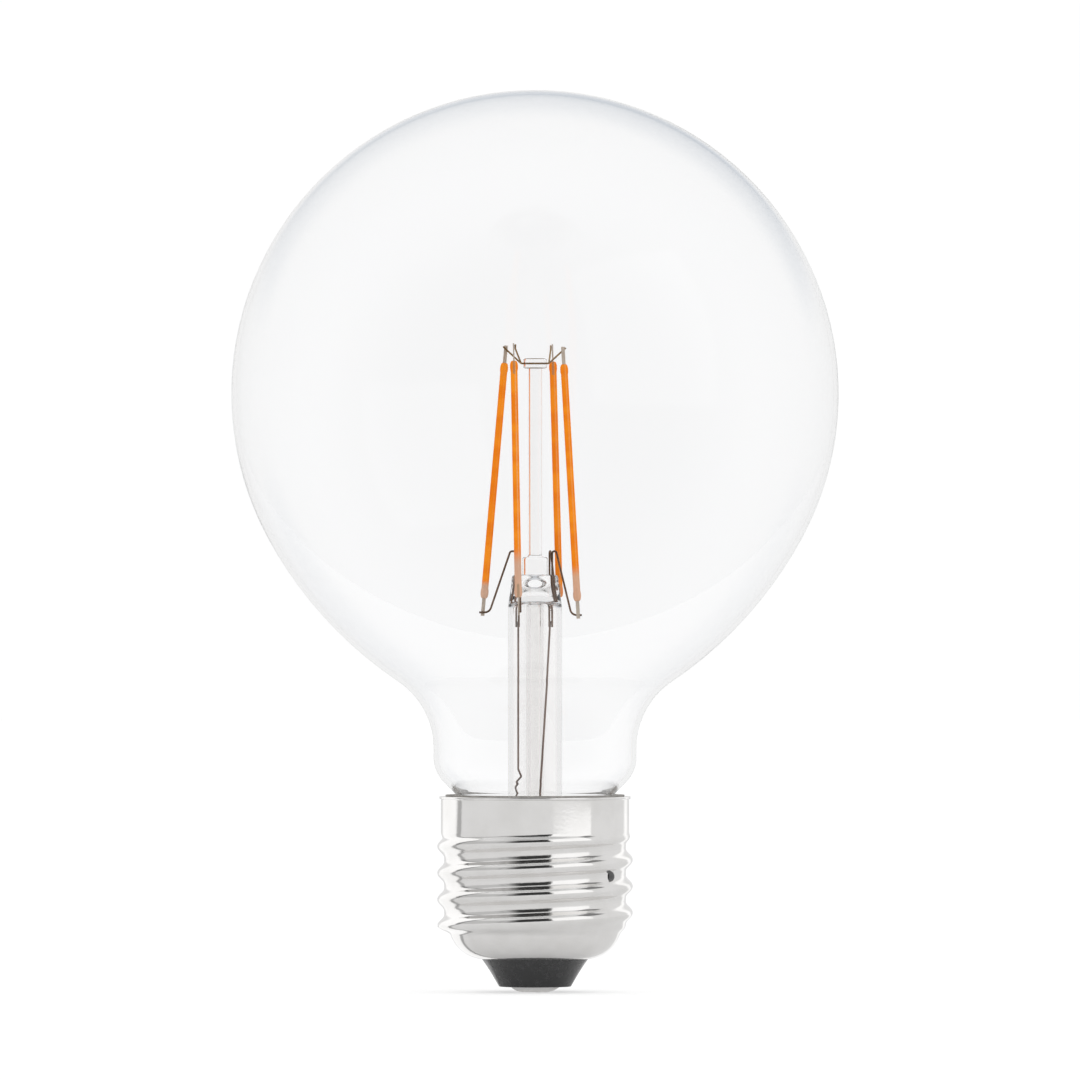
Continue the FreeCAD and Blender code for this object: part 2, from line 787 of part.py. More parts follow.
def all_pieces():
    pieces = {
        "glass_globe": glass_globe(),
        "stem_flare": stem_flare(),
        "exhaust_tube": exhaust_tube(),
        "stem_post": stem_post(),
        "top_wire_back": top_wire(0, 3, top_wire_aside),
        "top_wire_front": top_wire(1, 2, -top_wire_aside),
        "outer_lead_left": outer_lead_left(),
        "outer_lead_right": outer_lead_right(),
        "cap_shell": cap_shell(),
        "cap_insulator": cap_insulator(),
        "centre_contact": centre_contact(),
        "side_pin": side_pin(),
        "basing_cement": basing_cement(),
        "driver_board": driver_board(),
        "bridge_rectifier": board_block(rectifier_size, rectifier_place),
        "driver_chip": board_block(chip_size, chip_place),
        "smoothing_capacitor": smoothing_capacitor(),
        "fuse_resistor": fuse_resistor(),
        "side_wire": side_wire(),
        "contact_wire": contact_wire(),
    }
    for number in range(len(lead_azimuths)):
        name = "filament_%d" % (number + 1)
        pieces[name + "_strip"] = strip(number)
        pieces[name + "_top_tab"] = tab(number, strip_length)
        pieces[name + "_bottom_tab"] = tab(number, -tab_length)
        pieces["inner_lead_%d" % (number + 1)] = inner_lead(number)
    return pieces


os.makedirs("parts", exist_ok=True)
for name, shape in all_pieces().items():
    shape.exportStep("parts/%s.step" % name)
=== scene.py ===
"""A clear globe lamp: blown glass, four light strips on a glass stem and a rolled screw cap."""
import math

import bpy
from mathutils import Matrix, Vector, noise


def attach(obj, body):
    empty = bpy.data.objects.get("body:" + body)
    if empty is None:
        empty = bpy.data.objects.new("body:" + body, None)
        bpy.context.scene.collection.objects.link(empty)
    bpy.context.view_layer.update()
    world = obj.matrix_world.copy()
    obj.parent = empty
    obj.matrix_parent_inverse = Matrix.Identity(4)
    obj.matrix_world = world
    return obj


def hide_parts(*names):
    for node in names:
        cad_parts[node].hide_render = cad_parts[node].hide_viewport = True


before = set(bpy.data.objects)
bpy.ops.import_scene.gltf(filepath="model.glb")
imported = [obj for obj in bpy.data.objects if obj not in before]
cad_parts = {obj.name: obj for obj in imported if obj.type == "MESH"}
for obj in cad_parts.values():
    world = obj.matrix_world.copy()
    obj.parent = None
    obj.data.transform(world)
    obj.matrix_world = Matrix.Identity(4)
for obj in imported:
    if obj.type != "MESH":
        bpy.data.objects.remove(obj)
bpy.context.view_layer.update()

# Sizes in millimetres and degrees, heights measured up from the tip of the centre contact
mm = 0.001

# Screw cap
cap_height = 27.1
sheet = 0.3
skirt_radius = 12.6
lip_radius = 0.5
thread_crest_radius = 13.1
thread_root_radius = 12.15
thread_pitch = 3.629
thread_crest_height = 14.5
thread_top = 21.9
thread_bottom = 7.9
thread_runout = 1.3
thread_valley = 1.8
thread_rows = 72
shoulder_top_radius = 11.3
shoulder_curve = 4.7
shoulder_start_angle = 20.0
cap_opening_radius = 7.6

# Black glass insulator and centre contact
insulator_gap = 0.05
insulator_top = 7.0
insulator_tip_radius = 5.0
insulator_flank_sag = 0.1
insulator_flank_parts = 6
insulator_bore_radius = 1.0
insulator_edge = 0.2
insulator_edge_angle = 60
contact_radius = 3.4
contact_flat_radius = 1.5
contact_height = 0.75
contact_rings = 4
solder_lump = 0.12
solder_grain = 0.9
solder_rim_fade = 4

# Glass globe
globe_radius = 41.6
flank_radius = 55.0
flank_angle = 28.0
neck_radius = 13.9
neck_fillet = 11.0
neck_length = 1.2
neck_rise = 5.1
neck_shoulder = 5.0
neck_cone_angle = 45.0
entry_radius = 10.4
entry_bend = 1.5
seal_height = 20.7
glass_wall = 0.65

# Glass stem with its press, exhaust tube and post
stem_radius = 3.7
stem_wall = 0.7
stem_bore_top = 53.4
stem_bore_round = 0.9
press_start = 52.3
press_top = 57.2
press_half_width = 3.2
press_half_thickness = 1.8
press_round = 0.5
press_rings = 10
press_round_rings = 4
blow_hole_height = 55.9
blow_hole_half_width = 1.45
blow_hole_half_height = 0.85
blow_hole_half_depth = 2.6
blow_hole_columns = 64
blow_hole_rows = 48
exhaust_radius = 1.2
exhaust_bore_radius = 0.7
exhaust_tip_height = 14.0
exhaust_top = 53.3
post_foot_radius = 1.75
post_foot_height = 2.4
post_radius = 0.95
post_fillet = 0.35
post_top = 86.8
button_radius = 1.65
button_height = 1.4
button_edge = 0.35
button_dish = 0.25
glass_round = 0.3
seal_gap = 0.01

# Light strips
strip_length = 32.4
strip_width = 0.95
strip_thickness = 0.8
strip_round = 0.25
strip_bevel_rows = 4
strip_end_shape = ((1.4, 1.0), (1.05, 1.14), (0.6, 1.14), (0.3, 1.03), (0.1, 0.86), (0.0, 0.62))
strip_top_height = 86.4
strip_bottom_height = 54.1
strip_top_radius = 4.9
strip_bottom_radius = 7.1
strip_top_azimuths = (148.5, 233.9, 323.7, 60.0)
strip_bottom_azimuths = (169.9, 251.4, 324.6, 61.9)
strip_drops = (0.2, 0.0, 0.45, 0.0)

# How finely the turned pieces are drawn
arc_step = 3.0
turn_columns = 128
thread_columns = 192
merge_distance = 0.0005
crease_angle = 35.0

# Glass: tint, index, and the faint waves in it, counted per metre, with their height and stretch
globe_tint = (0.975, 0.976, 0.978, 1.0)
globe_index = 1.3
globe_waves = 45.0
globe_wave_height = 0.02
stem_tint = (0.985, 0.98, 0.976, 1.0)
stem_index = 1.45
stem_waves = 400.0
stem_wave_height = 0.01
stem_wave_stretch = (1.0, 1.0, 0.08)
no_stretch = (1, 1, 1)

# Plating of the cap: clean and stained colour, patterns in waves per metre, least and most roughness
nickel_clean = (0.83, 0.82, 0.81, 1.0)
nickel_stained = (0.78, 0.77, 0.755, 1.0)
nickel_stain_waves = 260.0
nickel_stain_range = (0.3, 0.75)
nickel_mark_waves = 700.0
nickel_mark_stretch = (1.0, 1.0, 0.2)
nickel_mark_share = 0.7
nickel_pit_waves = 2600.0
nickel_relief = 0.012
nickel_roughness = (0.05, 0.14)

# Black glass: clean and dusty colour, patterns in waves per metre, least and most roughness
black_clean = (0.008, 0.008, 0.009, 1.0)
black_dusty = (0.03, 0.03, 0.032, 1.0)
black_index = 1.7
black_dust_waves = 900.0
black_dust_range = (0.45, 0.8)
black_pit_waves = 1500.0
black_pit_range = (0.66, 0.74)
black_pit_depth = 0.6
black_ripple_waves = 350.0
black_relief = 0.05
black_roughness = (0.16, 0.36)

# Solder of the contact
solder_dark = (0.86, 0.85, 0.84, 1.0)
solder_light = (0.97, 0.96, 0.95, 1.0)
solder_wrinkle_waves = 1300.0
solder_relief = 0.12
solder_roughness = (0.22, 0.47)

# Coat of the strips, with its patterns in waves per millimetre; the lists go from strip to strip
coat_light = (0.9, 0.268, 0.005, 1.0)
coat_deep = (0.83, 0.202, 0.0, 1.0)
coat_band_waves = 0.24
coat_band_shift = 7.3
coat_band_range = (0.42, 0.56)
coat_grain_waves = 6.0
coat_relief = 0.03
coat_roughness = (0.38, 0.58)
seam_colour = (0.8, 0.4, 0.17, 1.0)
seam_left_edge = (0.02, 0.12)
seam_right_edge = (0.2, 0.3)
seam_grain_range = (0.2, 0.6)
seam_depths = (0.1, 0.7, 0.4, 0.5)
pale_colour = (0.56, 0.4, 0.31, 1.0)
pale_core = 0.6
pale_lengths = (2.6, 7.0, 5.0, 2.0)
pale_depths = (0.85, 0.8, 0.75, 0.3)
# Painted shadow of the tabs under the coat's ends: its colour, where it lies and how deep it is on each
# strip
tab_shadow_colour = (0.27, 0.2, 0.12, 1.0)
tab_shadow_side = (0.14, 0.2)
tab_shadow_end = (1.7, 1.9)
tab_shadow_depths = (0.1, 0.6, 0.1, 0.6)

# Wires, tabs and other drawn metal: a darker and a lighter colour for each
tab_colours = ((0.52, 0.43, 0.34, 1.0), (0.64, 0.56, 0.48, 1.0))
tab_metallic = 0.4
top_wire_colours = ((0.24, 0.14, 0.05, 1.0), (0.4, 0.26, 0.12, 1.0))
lead_colours = ((0.17, 0.1, 0.06, 1.0), (0.3, 0.19, 0.13, 1.0))
supply_wire_colours = ((0.2, 0.13, 0.1, 1.0), (0.34, 0.24, 0.2, 1.0))
# The pin's near-black colour is partly its metal and partly painted shade of the hole it sits in
pin_colours_and_painted_shade = ((0.06, 0.06, 0.06, 1.0), (0.3, 0.3, 0.3, 1.0))
can_colours = ((0.68, 0.69, 0.7, 1.0), (0.78, 0.79, 0.8, 1.0))
wire_tint_waves = 240.0
wire_mark_waves = 3000.0
wire_relief = 0.02
wire_roughness = (0.28, 0.48)
tint_range = (0.3, 0.7)

# Dull finishes: darker and lighter colour, waves of grain per metre, the grain's height, range of roughness
# The cement's colours are darker than its own grey: partly painted shadow along the cap's lip
cement_finish_and_painted_shade = ((0.3, 0.29, 0.27, 1.0), (0.42, 0.4, 0.38, 1.0), 900.0, 0.2, (0.8, 0.95))
board_finish = ((0.7, 0.71, 0.68, 1.0), (0.8, 0.81, 0.78, 1.0), 500.0, 0.02, (0.5, 0.65))
moulding_finish = ((0.012, 0.012, 0.013, 1.0), (0.03, 0.03, 0.032, 1.0), 1800.0, 0.03, (0.5, 0.65))
resistor_finish = ((0.2, 0.33, 0.38, 1.0), (0.28, 0.42, 0.47, 1.0), 700.0, 0.03, (0.45, 0.6))

# Camera: the photo's scale in pixels per millimetre, and where the axis and the tip stand in it
picture_size = 1080
picture_scale = 7.3
picture_axis = 535
picture_tip = 992
camera_distance = 2000
camera_reach = 100000
camera_sensor = 36
light_bounces = 32
mirror_bounces = 8

# Studio: softbox, floor, and how bright the surroundings are to each kind of ray
softbox_azimuth = 47.0
softbox_elevation = 10.0
softbox_distance = 1000
softbox_width = 950
softbox_height = 1700
softbox_power = 1.7
floor_reach = 6000
floor_colour = 0.55
floor_glow = 0.52
floor_sheen = 0.28
mirror_height = 60
room_light = 0.95
backdrop_white = 1.01
mirrored_room = 0.84
glazed_front = 0.34
glazed_back = 0.9
glazed_turn = (-0.8, 0.1)

# White and dark cards that metal mirrors: azimuths from the camera's side to the right, and elevations
side_white = 0.35
side_white_left = (-114, -108)
side_white_right = (138, 146)
side_white_back = (150, 160)
wall_edge_left = (-110, -108)
wall_edge_right = (-102, -100)
wall_edge_dark = 0.35
flag_sides = (-52, 21)
flag_heights = (0, 54)
flag_edge = 2
flag_left_edge = 34
flag_dark = 0.8
left_wall_sides = (-112, -38)
left_wall_heights = (0, 48)
left_wall_edge = 6
left_wall_dark = 0.25
right_card_sides = (74, 118)
right_card_heights = (40, 66)
right_card_edge = 4
right_card_dark = 0.6

# Bluish patch high behind the lamp that the glass mirrors, by how far a direction goes back, up and right
sky_tint = (0.86, 0.92, 1.0, 1.0)
sky_dark = 0.24
sky_back = (0.6, 0.8)
sky_up = (0.12, 0.3)
sky_right = (-0.3, 0.4)
sky_left_share = 0.6


def ramp(share):
    """A smooth step from 0 to 1."""
    share = min(max(share, 0.0), 1.0)
    return share * share * (3 - 2 * share)


def around(radius, azimuth, height):
    """A point at a radius, an azimuth in degrees and a height."""
    angle = math.radians(azimuth)
    return Vector((radius * math.cos(angle), radius * math.sin(angle), height))


def arc_point(centre, radius, angle):
    """A point of an outline on a circle, the angle in degrees up from the outward direction."""
    turn = math.radians(angle)
    return centre[0] + radius * math.cos(turn), centre[1] + radius * math.sin(turn)


# Drawing and turning

def begin_outline(name, point):
    """A new piece that is a single point in the plane through the axis, ready to be drawn out."""
    bpy.ops.object.select_all(action="DESELECT")
    bpy.ops.mesh.primitive_plane_add(size=mm)
    piece = bpy.context.object
    piece.name = name
    piece.data.name = name
    bpy.ops.object.mode_set(mode="EDIT")
    bpy.ops.mesh.merge(type="CENTER")
    bpy.ops.mesh.select_all(action="SELECT")
    bpy.ops.transform.translate(value=(point[0] * mm, 0, point[1] * mm))
    return piece


def draw_line(here, there, parts=1):
    """Draw the outline on in a straight line, in equal parts."""
    step = ((there[0] - here[0]) * mm / parts, 0, (there[1] - here[1]) * mm / parts)
    for _ in range(parts):
        bpy.ops.mesh.extrude_region_move(TRANSFORM_OT_translate={"value": step})
    return there


def draw_arc(here, centre, degrees):
    """Draw the outline on in an arc, counted from the outward direction towards the top."""
    steps = math.ceil(abs(degrees) / arc_step)
    middle = (centre[0] * mm, 0, centre[1] * mm)
    bpy.ops.mesh.spin(steps=steps, angle=math.radians(degrees), center=middle, axis=(0, 1, 0))
    radius = math.dist(here, centre)
    first = math.degrees(math.atan2(here[1] - centre[1], here[0] - centre[0]))
    return arc_point(centre, radius, first + degrees)


def turned(name, start, strokes, columns=turn_columns):
    """A piece made by drawing half an outline and turning it about the axis."""
    piece = begin_outline(name, start)
    here = start
    for kind, *details in strokes:
        if kind == "line":
            here = draw_line(here, *details)
        else:
            here = draw_arc(here, *details)
    bpy.ops.mesh.select_all(action="SELECT")
    bpy.ops.mesh.spin(steps=columns, angle=math.tau, center=(0, 0, 0), axis=(0, 0, 1))
    close_seams()
    return piece


def close_seams():
    """Merge the doubled points of a turned piece, face it outwards and smooth it."""
    bpy.ops.mesh.select_all(action="SELECT")
    bpy.ops.mesh.remove_doubles(threshold=merge_distance * mm)
    bpy.ops.mesh.normals_make_consistent(inside=False)
    bpy.ops.object.mode_set(mode="OBJECT")
    bpy.ops.object.shade_smooth_by_angle(angle=math.radians(crease_angle))


def pick(piece, test):
    """Select the points of a piece whose place in millimetres passes a test, and go on editing it."""
    bpy.ops.object.mode_set(mode="EDIT")
    bpy.ops.mesh.select_mode(type="VERT")
    bpy.ops.mesh.select_all(action="DESELECT")
    bpy.ops.object.mode_set(mode="OBJECT")
    for point in piece.data.vertices:
        point.select = test(point.co / mm)
    bpy.ops.object.mode_set(mode="EDIT")


def thicken(piece, wall):
    """Give a skin its wall, inwards from the outer face."""
    modifier = piece.modifiers.new("wall", "SOLIDIFY")
    modifier.thickness = wall * mm
    modifier.offset = -1
    modifier.use_even_offset = True
    bpy.ops.object.modifier_apply(modifier=modifier.name)


def stretch(across, depth, up=1.0):
    """Scale what is selected about the axis."""
    bpy.ops.transform.resize(value=(across, depth, up), center_override=(0, 0, 0))


# Glass globe

def globe_centres():
    """Centres of the globe, its flank, the fillet of its neck, its shoulder and the bend into the cap."""
    turn = math.radians(flank_angle)
    cone = math.radians(neck_cone_angle)
    fillet = (neck_radius + neck_fillet, cap_height + neck_rise + neck_length)
    across = fillet[0] + (flank_radius - globe_radius) * math.cos(turn)
    bend = math.degrees(math.acos(across / (neck_fillet + flank_radius)))
    flank = arc_point(fillet, neck_fillet + flank_radius, 180 - bend)
    globe = (0.0, flank[1] - (flank_radius - globe_radius) * math.sin(turn))
    shoulder = (neck_radius - neck_shoulder, cap_height + neck_rise)
    cone_top = arc_point(shoulder, neck_shoulder, -neck_cone_angle)
    cone_radius = entry_radius + entry_bend * (1 - math.cos(cone))
    cone_height = cone_top[1] - (cone_top[0] - cone_radius) / math.tan(cone)
    entry = (entry_radius + entry_bend, cone_height - entry_bend * math.sin(cone))
    return globe, flank, fillet, shoulder, entry, bend


def make_globe():
    """The blown globe, drawn from its top down to the end sealed in the cap."""
    globe, flank, fillet, shoulder, entry, bend = globe_centres()
    piece = turned("globe_glass", (0.0, globe[1] + globe_radius), [
        ("arc", globe, -90 - flank_angle),
        ("arc", flank, flank_angle - bend),
        ("arc", fillet, bend),
        ("line", (neck_radius, shoulder[1])),
        ("arc", shoulder, -neck_cone_angle),
        ("line", arc_point(entry, entry_bend, 180 - neck_cone_angle)),
        ("arc", entry, neck_cone_angle),
        ("line", (entry_radius, seal_height + seal_gap)),
    ])
    thicken(piece, glass_wall)
    return piece


# Glass stem

def make_stem():
    """The tube with its flared foot, closed above by a press that a blow hole goes through."""
    flare_bend = entry_radius - glass_wall - seal_gap - stem_radius
    centre = (stem_radius + flare_bend, seal_height + flare_bend)
    bore_radius = stem_radius - stem_wall
    bore_corner = (bore_radius - stem_bore_round, stem_bore_top - stem_bore_round)
    piece = turned("stem_glass", (0.0, stem_bore_top), [
        ("line", (bore_corner[0], stem_bore_top)),
        ("arc", bore_corner, -90),
        ("line", (bore_radius, centre[1])),
        ("arc", centre, 90),
        ("line", (entry_radius, seal_height - stem_wall)),
        ("line", (entry_radius, seal_height)),
        ("line", (centre[0], seal_height)),
        ("arc", centre, -90),
        ("line", (stem_radius, press_start)),
    ])
    draw_press(piece)
    cut_blow_hole(piece)
    return piece


def press_rim(share, inset):
    """Half width and half thickness of the press at a share of its height, moved in by an inset."""
    wide = stem_radius + (press_half_width - stem_radius) * ramp(share)
    thin = stem_radius + (press_half_thickness - stem_radius) * ramp(share)
    return wide - inset, thin - inset


def draw_press(piece):
    """Draw the top of the tube on into the flat oval press, ring by ring, and close its rounded top."""
    rings = [(share / press_rings, 0.0, 0.0) for share in range(1, press_rings + 1)]
    for ring in range(1, press_round_rings + 1):
        turn = math.radians(90 * ring / press_round_rings)
        rings.append((1.0, press_round * (1 - math.cos(turn)), press_round * math.sin(turn)))
    straight = press_top - press_round - press_start
    rim_radius = stem_radius - seal_gap
    pick(piece, lambda point: point.z > press_start - seal_gap and point.xy.length > rim_radius)
    height, wide, thin = press_start, stem_radius, stem_radius
    for share, inset, rise in rings:
        next_height = press_start + straight * share + rise
        next_wide, next_thin = press_rim(share, inset)
        move = {"value": (0, 0, (next_height - height) * mm)}
        bpy.ops.mesh.extrude_region_move(TRANSFORM_OT_translate=move)
        stretch(next_wide / wide, next_thin / thin)
        height, wide, thin = next_height, next_wide, next_thin
    bpy.ops.mesh.edge_face_add()
    close_seams()


def cut_blow_hole(piece):
    """Cut the bubble that was blown through the press."""
    bpy.ops.object.select_all(action="DESELECT")
    bpy.ops.mesh.primitive_uv_sphere_add(
        segments=blow_hole_columns,
        ring_count=blow_hole_rows,
        radius=mm,
        location=(0, 0, blow_hole_height * mm),
    )
    bubble = bpy.context.object
    bubble.scale = (blow_hole_half_width, blow_hole_half_depth, blow_hole_half_height)
    bpy.ops.object.transform_apply(location=True, rotation=True, scale=True)
    bpy.ops.object.select_all(action="DESELECT")
    bpy.context.view_layer.objects.active = piece
    piece.select_set(True)
    modifier = piece.modifiers.new("blow_hole", "BOOLEAN")
    modifier.operation = "DIFFERENCE"
    modifier.object = bubble
    bpy.ops.object.modifier_apply(modifier=modifier.name)
    bpy.data.objects.remove(bubble)
    bpy.ops.object.shade_smooth_by_angle(angle=math.radians(crease_angle))


def make_exhaust():
    """The thin tube in the stem, open in the press and drawn to a sealed tip below."""
    tip = (0.0, exhaust_tip_height + exhaust_radius)
    bore_end = (0.0, tip[1] + exhaust_radius)
    return turned("exhaust_glass", (0.0, exhaust_tip_height), [
        ("arc", tip, 90),
        ("line", (exhaust_radius, exhaust_top)),
        ("line", (exhaust_bore_radius, exhaust_top)),
        ("line", (exhaust_bore_radius, bore_end[1])),
        ("arc", bore_end, -90),
    ])


def make_post():
    """The rod on the press, with a rounded foot below and a dished button above."""
    foot_top = press_top + post_foot_height
    button_bottom = post_top - button_height
    edge_radius = button_radius - button_edge
    lower_edge = (edge_radius, button_bottom + button_edge)
    upper_edge = (edge_radius, post_top - button_edge)
    lower_fillet = (post_radius + post_fillet, foot_top + post_fillet)
    foot_edge = (post_foot_radius - glass_round, foot_top - glass_round)
    return turned("post_glass", (0.0, press_top), [
        ("line", (post_foot_radius, press_top)),
        ("line", (post_foot_radius, foot_edge[1])),
        ("arc", foot_edge, 90),
        ("line", (lower_fillet[0], foot_top)),
        ("arc", lower_fillet, -90),
        ("line", (post_radius, button_bottom)),
        ("line", (edge_radius, button_bottom)),
        ("arc", lower_edge, 90),
        ("line", (button_radius, upper_edge[1])),
        ("arc", upper_edge, 90),
        ("line", (0.0, post_top - button_dish)),
    ])


# Light strips

def strip_ends(number):
    """The centres of a strip's coated length, top and bottom."""
    drop = Vector((0, 0, -strip_drops[number]))
    top = around(strip_top_radius, strip_top_azimuths[number], strip_top_height) + drop
    below = around(strip_bottom_radius, strip_bottom_azimuths[number], strip_bottom_height) + drop
    return top, top + (below - top).normalized() * strip_length


def make_strip_model():
    """One coated strip, upright on the origin: a rounded bar, thicker before each tapered end."""
    bpy.ops.object.select_all(action="DESELECT")
    bpy.ops.mesh.primitive_cube_add(size=mm, location=(0, 0, 0))
    piece = bpy.context.object
    bpy.ops.object.mode_set(mode="EDIT")
    bpy.ops.mesh.select_all(action="SELECT")
    stretch(strip_width, strip_thickness, strip_length)
    bpy.ops.transform.translate(value=(0, 0, strip_length * mm / 2))
    round_long_edges(piece)
    cut_rings([distance for distance, share in strip_end_shape if distance > 0])
    shape_ends(piece)
    bpy.ops.object.mode_set(mode="OBJECT")
    keep_drawing_place(piece)
    bpy.ops.object.shade_smooth_by_angle(angle=math.radians(crease_angle))
    return piece


def round_long_edges(piece):
    """Round the four edges along the strip."""
    bpy.ops.mesh.select_mode(type="EDGE")
    bpy.ops.mesh.select_all(action="DESELECT")
    bpy.ops.object.mode_set(mode="OBJECT")
    for edge in piece.data.edges:
        low, high = (piece.data.vertices[point].co.z for point in edge.vertices)
        edge.select = abs(high - low) > strip_width * mm
    bpy.ops.object.mode_set(mode="EDIT")
    bpy.ops.mesh.bevel(offset=strip_round * mm, segments=strip_bevel_rows, affect="EDGES")


def cut_rings(distances):
    """Cut rings round the strip at the same distances from both ends."""
    for distance in distances:
        for height in (distance, strip_length - distance):
            bpy.ops.mesh.select_all(action="SELECT")
            bpy.ops.mesh.bisect(plane_co=(0, 0, height * mm), plane_no=(0, 0, 1))


def from_end(point):
    """How far a point of the upright strip is from its nearer end."""
    return min(point.z, strip_length - point.z)


def shape_ends(piece):
    """Thicken both ends and taper the last of them."""
    for distance, share in strip_end_shape:
        pick(piece, lambda point: abs(from_end(point) - distance) < seal_gap)
        stretch(share, share)


def keep_drawing_place(piece):
    """Keep each point's place on the upright strip, so that the coat's pattern follows the strip."""
    places = piece.data.attributes.new("strip_place", "FLOAT_VECTOR", "POINT")
    for point, place in zip(piece.data.vertices, places.data):
        place.vector = point.co / mm


def make_strips():
    """The four strips, copies of one model laid along their own lines."""
    model = make_strip_model()
    pieces = []
    for number in range(len(strip_drops)):
        bpy.ops.object.select_all(action="DESELECT")
        model.select_set(True)
        bpy.context.view_layer.objects.active = model
        bpy.ops.object.duplicate()
        piece = bpy.context.object
        piece.name = f"strip_coat_{number + 1}"
        piece.data.name = piece.name
        top, bottom = strip_ends(number)
        tilt = Vector((0, 0, 1)).rotation_difference(top - bottom).to_matrix().to_4x4()
        piece.data.transform(Matrix.Translation(bottom * mm) @ tilt)
        pieces.append(piece)
    bpy.data.objects.remove(model)
    return pieces


# Screw cap

def thread_radius(angle, height):
    """The shell's outer radius between its skirt and its shoulder."""
    upper = ramp((height - thread_top + thread_runout) / thread_runout)
    lower = ramp((thread_bottom + thread_runout - height) / thread_runout)
    base = thread_root_radius
    base += (skirt_radius - thread_root_radius) * upper
    base += (shoulder_top_radius - thread_root_radius) * lower
    wave = 0.5 + 0.5 * math.cos(math.tau * (height - thread_crest_height) / thread_pitch - angle)
    depth = thread_crest_radius - thread_root_radius
    return base + depth * wave ** thread_valley * (1 - upper) * (1 - lower)


def shoulder_middle():
    """The centre of the shoulder's curve under the thread."""
    return arc_point((shoulder_top_radius, thread_bottom), shoulder_curve, 180 - shoulder_start_angle)


def shoulder_angle(inset, radius):
    """Where on the shoulder's curve, moved in by an inset, a radius lies."""
    return -math.degrees(math.acos((radius - shoulder_middle()[0]) / (shoulder_curve - inset)))


def make_cap():
    """The shell drawn as one sheet, with the thread rolled into it."""
    lip = (skirt_radius + lip_radius, cap_height - sheet - lip_radius)
    opening = shoulder_angle(0, cap_opening_radius)
    piece = turned("cap_sheet", (lip[0], lip[1] + lip_radius), [
        ("arc", lip, 90),
        ("line", (skirt_radius, thread_top)),
        ("line", (shoulder_top_radius, thread_bottom), thread_rows),
        ("arc", shoulder_middle(), opening + shoulder_start_angle),
    ], thread_columns)
    for point in piece.data.vertices:
        height = point.co.z / mm
        if thread_bottom < height < thread_top:
            angle = math.atan2(point.co.y, point.co.x)
            radius = thread_radius(angle, height) * mm
            point.co.x = radius * math.cos(angle)
            point.co.y = radius * math.sin(angle)
    thicken(piece, sheet)
    return piece


def make_insulator():
    """The black glass that fills the shoulder and tapers to the contact."""
    neck = cap_opening_radius - insulator_gap
    inset = sheet + insulator_gap
    middle = shoulder_middle()
    curve = shoulder_curve - inset
    edge_height = arc_point(middle, shoulder_curve, shoulder_angle(0, cap_opening_radius))[1]
    lodge = shoulder_angle(inset, neck)
    top_angle = -math.degrees(math.asin((middle[1] - insulator_top) / curve))
    flank = []
    for part in range(2, insulator_flank_parts + 1):
        share = part / insulator_flank_parts
        sag = 4 * insulator_flank_sag * share * (1 - share)
        radius = insulator_tip_radius + (neck - insulator_tip_radius) * share - sag
        height = contact_height + (edge_height - contact_height) * share + sag
        flank.append(("line", (radius, height)))
    rounded_tip = (insulator_tip_radius - insulator_edge, contact_height + insulator_edge)
    return turned("insulator_glass", (insulator_bore_radius, insulator_top), [
        ("line", (insulator_bore_radius, contact_height)),
        ("line", (rounded_tip[0], contact_height)),
        ("arc", rounded_tip, insulator_edge_angle),
        *flank,
        ("line", arc_point(middle, curve, lodge)),
        ("arc", middle, top_angle - lodge),
        ("line", (insulator_bore_radius, insulator_top)),
    ])


def make_contact():
    """The soldered contact: a low dome with a lumpy face and a small flat at its tip."""
    span = contact_radius - contact_flat_radius
    dome = (span ** 2 + contact_height ** 2) / (2 * contact_height)
    rise = math.degrees(math.asin(span / dome))
    piece = turned("contact_solder", (0.0, contact_height), [
        ("line", (contact_radius, contact_height), contact_rings),
        ("arc", (contact_flat_radius, dome), -rise),
        ("line", (0.0, 0.0), contact_rings),
    ])
    for point in piece.data.vertices:
        place = point.co / mm
        share = math.hypot(place.x, place.y) / contact_radius
        fade = ramp(share) * ramp(solder_rim_fade * (1 - share))
        lump = noise.noise(place / solder_grain) * solder_lump * fade
        point.co.z = min(max(place.z + lump, 0.0), contact_height) * mm
    return piece


# Materials

class Shade:
    """A node's socket that can be used in sums, each of which adds its own Math node."""

    def __init__(self, tree, socket=None):
        self.tree = tree
        self.socket = socket

    def node(self, kind, settings=None, inputs=None, output=0):
        """Add a node of a kind: its settings are set first, then the values or links of its sockets."""
        made = self.tree.nodes.new(kind)
        for name, value in (settings or {}).items():
            setattr(made, name, value)
        for name, value in (inputs or {}).items():
            if isinstance(value, Shade):
                self.tree.links.new(value.socket, made.inputs[name])
            else:
                made.inputs[name].default_value = value
        return Shade(self.tree, made.outputs[output] if len(made.outputs) else None)

    def sum(self, operation, first, second):
        """A Math node on two values."""
        return self.node("ShaderNodeMath", {"operation": operation}, {0: first, 1: second})

    def __add__(self, other):
        return self.sum("ADD", self, other)

    def __radd__(self, other):
        return self.sum("ADD", other, self)

    def __sub__(self, other):
        return self.sum("SUBTRACT", self, other)

    def __rsub__(self, other):
        return self.sum("SUBTRACT", other, self)

    def __mul__(self, other):
        return self.sum("MULTIPLY", self, other)

    def __rmul__(self, other):
        return self.sum("MULTIPLY", other, self)

    def step(self, low, high):
        """A smooth step of this value from 0 at low to 1 at high."""
        settings = {"interpolation_type": "SMOOTHSTEP"}
        return self.node("ShaderNodeMapRange", settings, {"Value": self, "From Min": low, "From Max": high})

    def between(self, low, high):
        """A value that goes evenly from low to high as this one goes from 0 to 1."""
        return low + (high - low) * self

    def mix(self, low, high):
        """A colour between two, this value being the share of the second."""
        share, first, second, result = 0, 6, 7, 2
        inputs = {share: self, first: low, second: high}
        return self.node("ShaderNodeMix", {"data_type": "RGBA"}, inputs, result)


def grey(level):
    """A grey colour."""
    return (level, level, level, 1.0)


